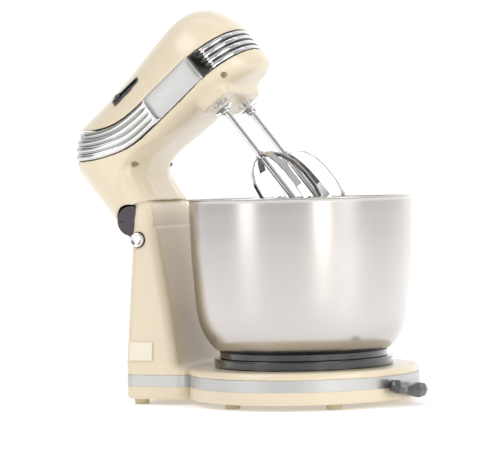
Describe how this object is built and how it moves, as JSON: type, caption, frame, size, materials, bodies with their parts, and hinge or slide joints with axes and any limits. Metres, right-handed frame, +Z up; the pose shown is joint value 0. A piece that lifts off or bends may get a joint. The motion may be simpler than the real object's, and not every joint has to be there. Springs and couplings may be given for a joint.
{
  "type": "stand mixer",
  "caption": "Tilt-head stand mixer with twin beaters, steel bowl on a sliding platform, finger lever, speed slider, release button and a motor with worm drive.",
  "frame": {"origin": "centre of the bounding box's footprint, on the table, with the head open", "axes": "+X towards the nose and the finger lever, +Y to the side away from the release button, +Z up"},
  "size_m": [0.3264, 0.204, 0.3485],
  "materials": {
    "cream": "satin warm cream moulding",
    "black": "fine-grained black moulding",
    "hinge_black": "smooth purple-black moulding",
    "chrome": "bright plated",
    "brushed_band": "brushed light grey",
    "bowl_steel": "satin stainless",
    "beater_steel": "polished wire and strip",
    "zinc_steel": "zinc plated",
    "rubber": "matt beige",
    "casting": "as cast",
    "lamination": "oiled laminations",
    "copper": "enamelled copper",
    "bronze": "sintered bronze",
    "carbon": "pressed carbon",
    "gear_white": "nylon",
    "inner_black": "glass-filled nylon",
    "collar": "milky plastic"
  },
  "bodies": {
    "base": {"base_bottom_cover": "cream", "base_feet": "rubber", "base_screws": "zinc_steel", "base_trim_band": "brushed_band", "base_and_column_shell": "cream", "column_badge_plate": "cream", "cord_inlet": "black", "hinge_bracket": "zinc_steel", "hinge_pin": "zinc_steel", "spring_stop": "inner_black"},
    "head": {"head_lower_housing": "cream", "head_upper_housing": "cream", "head_trim_front": "chrome", "head_trim_rear": "chrome", "head_trim_panel_near": "brushed_band", "head_trim_panel_far": "brushed_band", "housing_screws": "zinc_steel", "neck_bracket": "hinge_black", "gear_frame": "casting", "spindle_bushes": "bronze", "shaft_bushes": "bronze", "rear_bearing_arm": "inner_black", "motor_cradle": "inner_black", "motor_stator": "lamination", "field_coils": "copper", "brush_holders": "inner_black", "carbon_brushes": "carbon", "speed_slot_bezel": "cream", "speed_switch": "inner_black"},
    "armature": {"armature_shaft": "zinc_steel", "armature_core": "lamination", "armature_windings": "copper", "commutator": "copper", "cooling_fan": "inner_black", "worm": "zinc_steel"},
    "near_spindle": {"worm_wheel_near": "gear_white", "spindle_near": "zinc_steel", "beater_shaft_near": "beater_steel", "beater_collar_near": "collar", "beater_blades_near": "beater_steel"},
    "far_spindle": {"worm_wheel_far": "gear_white", "spindle_far": "zinc_steel", "beater_shaft_far": "beater_steel", "beater_collar_far": "collar", "beater_blades_far": "beater_steel"},
    "slider": {"speed_knob": "black", "switch_wiper": "copper"},
    "button": {"release_button": "chrome", "latch_bar": "inner_black", "release_spring": "zinc_steel"},
    "platform": {"bowl_platform": "black", "platform_grip_band": "black", "platform_retainer": "zinc_steel", "retainer_screws": "zinc_steel"},
    "lever": {"shift_lever_arm": "zinc_steel", "shift_lever_handle": "black"},
    "mixing_bowl": {"bowl": "bowl_steel", "bowl_foot_ring": "black"}
  },
  "joints": [
    {"name": "head_tilt", "type": "hinge", "parent": "base", "child": "head", "pos_m": [-0.0985, 0, 0.1622], "axis": [0, 1, 0], "range_deg": [0, 39]},
    {"name": "motor_spin", "type": "hinge", "parent": "head", "child": "armature", "pos_m": [-0.07065, 0, 0.26685], "axis": [0.7771, 0, 0.6293], "continuous": true},
    {"name": "near_beater_spin", "type": "hinge", "parent": "head", "child": "near_spindle", "pos_m": [-0.02126, -0.0275, 0.27339], "axis": [-0.6293, 0, 0.7771], "continuous": true},
    {"name": "far_beater_spin", "type": "hinge", "parent": "head", "child": "far_spindle", "pos_m": [-0.02126, 0.0275, 0.27339], "axis": [-0.6293, 0, 0.7771], "continuous": true},
    {"name": "speed_slide", "type": "slide", "parent": "head", "child": "slider", "axis": [0.7771, 0, 0.6293], "range_m": [0, 0.02]},
    {"name": "release_press", "type": "slide", "parent": "base", "child": "button", "axis": [0, 1, 0], "range_m": [0, 0.003], "stiffness_N_per_m": 800, "springref_m": -0.001, "deforming": ["release_spring"]},
    {"name": "platform_shift", "type": "slide", "parent": "base", "child": "platform", "axis": [0, -1, 0], "range_m": [0, 0.00617]},
    {"name": "lever_swing", "type": "hinge", "parent": "base", "child": "lever", "pos_m": [0.087, 0, 0.0135], "axis": [0, 0, 1], "range_deg": [0, 30.05]},
    {"name": "bowl_twist", "type": "hinge", "parent": "platform", "child": "mixing_bowl", "pos_m": [0.049, 0, 0.046], "axis": [0, 0, 1], "range_deg": [0, 40]}
  ],
  "couplings": [
    {"joint": "near_beater_spin", "follows": "motor_spin", "ratio": 0.027778},
    {"joint": "far_beater_spin", "follows": "motor_spin", "ratio": -0.027778},
    {"joint": "lever_swing", "follows": "platform_shift", "rad_per_m": 84.862}
  ]
}
